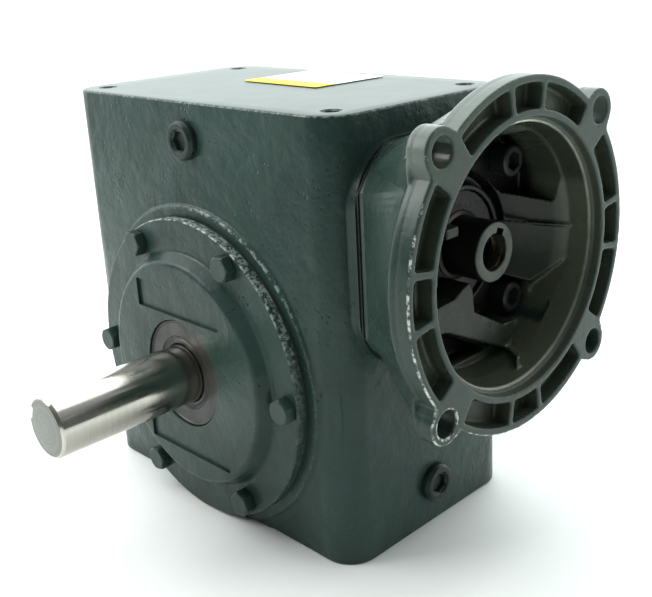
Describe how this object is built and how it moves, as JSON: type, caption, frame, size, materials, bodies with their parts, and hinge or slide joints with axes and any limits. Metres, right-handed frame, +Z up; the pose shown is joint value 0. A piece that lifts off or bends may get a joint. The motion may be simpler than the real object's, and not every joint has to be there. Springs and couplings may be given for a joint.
{
  "type": "worm gear reducer",
  "caption": "Right-angle worm gear reducer with a cast housing, a C-face motor flange over a hollow input quill, bolted side covers and a solid output shaft that turn together.",
  "frame": {"origin": "centre of the base face, straight below the crossing of the output and input axes", "axes": "+X out of the motor flange along the input axis, -Y out along the output shaft, +Z up"},
  "size_m": [0.2466, 0.2169, 0.2152],
  "materials": {
    "housing_paint": "semi-gloss grey-green paint over rough casting",
    "flange_paint": "semi-gloss paint, machined front rim",
    "painted_bolt": "painted with the housing",
    "plug": "dark painted steel",
    "dark_steel": "black oxide",
    "gasket": "pressed fibre sheet",
    "seal": "matt, rubber-faced metal case",
    "shaft_steel": "ground",
    "bearing_steel": "ground",
    "bronze": "hobbed bronze",
    "label": "printed film"
  },
  "bodies": {
    "housing": {"housing": "housing_paint", "output_cover": "housing_paint", "closed_cover": "housing_paint", "output_cover_gasket": "gasket", "closed_cover_gasket": "gasket", "flange_gasket": "gasket", "output_cover_bolt_1": "painted_bolt", "output_cover_bolt_2": "painted_bolt", "output_cover_bolt_3": "painted_bolt", "output_cover_bolt_4": "painted_bolt", "output_cover_bolt_5": "painted_bolt", "output_cover_bolt_6": "painted_bolt", "closed_cover_bolt_1": "painted_bolt", "closed_cover_bolt_2": "painted_bolt", "closed_cover_bolt_3": "painted_bolt", "closed_cover_bolt_4": "painted_bolt", "closed_cover_bolt_5": "painted_bolt", "closed_cover_bolt_6": "painted_bolt", "front_plug": "plug", "back_plug": "plug", "flange_side_plug": "plug", "rear_side_plug": "plug", "rating_label": "label", "motor_flange": "flange_paint", "flange_screw_1": "dark_steel", "flange_screw_2": "dark_steel", "flange_screw_3": "dark_steel", "flange_screw_4": "dark_steel", "output_seal": "seal", "input_seal": "seal", "worm_end_cap": "dark_steel", "output_bearing_front_cup": "bearing_steel", "output_bearing_rear_cup": "bearing_steel", "worm_bearing_front_outer_ring": "bearing_steel", "worm_bearing_rear_outer_ring": "bearing_steel"},
    "output_shaft": {"output_shaft": "shaft_steel", "worm_wheel": "bronze", "wheel_key": "dark_steel", "wheel_spacer": "shaft_steel", "output_bearing_front_cone": "bearing_steel", "output_bearing_rear_cone": "bearing_steel"},
    "worm": {"worm_shaft": "shaft_steel", "worm_bearing_front_inner_ring": "bearing_steel", "worm_bearing_rear_inner_ring": "bearing_steel"},
    "output_rollers_front": {"output_bearing_front_rollers": "bearing_steel"},
    "output_rollers_rear": {"output_bearing_rear_rollers": "bearing_steel"},
    "worm_balls_front": {"worm_bearing_front_balls": "bearing_steel"},
    "worm_balls_rear": {"worm_bearing_rear_balls": "bearing_steel"}
  },
  "joints": [
    {"name": "output_shaft_spin", "type": "hinge", "parent": "housing", "child": "output_shaft", "pos_m": [0, 0, 0.075], "axis": [0, 1, 0], "continuous": true},
    {"name": "worm_spin", "type": "hinge", "parent": "housing", "child": "worm", "pos_m": [0, 0, 0.14167], "axis": [1, 0, 0], "continuous": true},
    {"name": "output_rollers_front_spin", "type": "hinge", "parent": "housing", "child": "output_rollers_front", "pos_m": [0, 0, 0.075], "axis": [0, 1, 0], "continuous": true},
    {"name": "output_rollers_rear_spin", "type": "hinge", "parent": "housing", "child": "output_rollers_rear", "pos_m": [0, 0, 0.075], "axis": [0, 1, 0], "continuous": true},
    {"name": "worm_balls_front_spin", "type": "hinge", "parent": "housing", "child": "worm_balls_front", "pos_m": [0, 0, 0.14167], "axis": [1, 0, 0], "continuous": true},
    {"name": "worm_balls_rear_spin", "type": "hinge", "parent": "housing", "child": "worm_balls_rear", "pos_m": [0, 0, 0.14167], "axis": [1, 0, 0], "continuous": true}
  ],
  "couplings": [
    {"joint": "worm_spin", "follows": "output_shaft_spin", "ratio": -30},
    {"joint": "output_rollers_front_spin", "follows": "output_shaft_spin", "ratio": 0.42},
    {"joint": "output_rollers_rear_spin", "follows": "output_shaft_spin", "ratio": 0.42},
    {"joint": "worm_balls_front_spin", "follows": "output_shaft_spin", "ratio": -12.2},
    {"joint": "worm_balls_rear_spin", "follows": "output_shaft_spin", "ratio": -12.2}
  ]
}
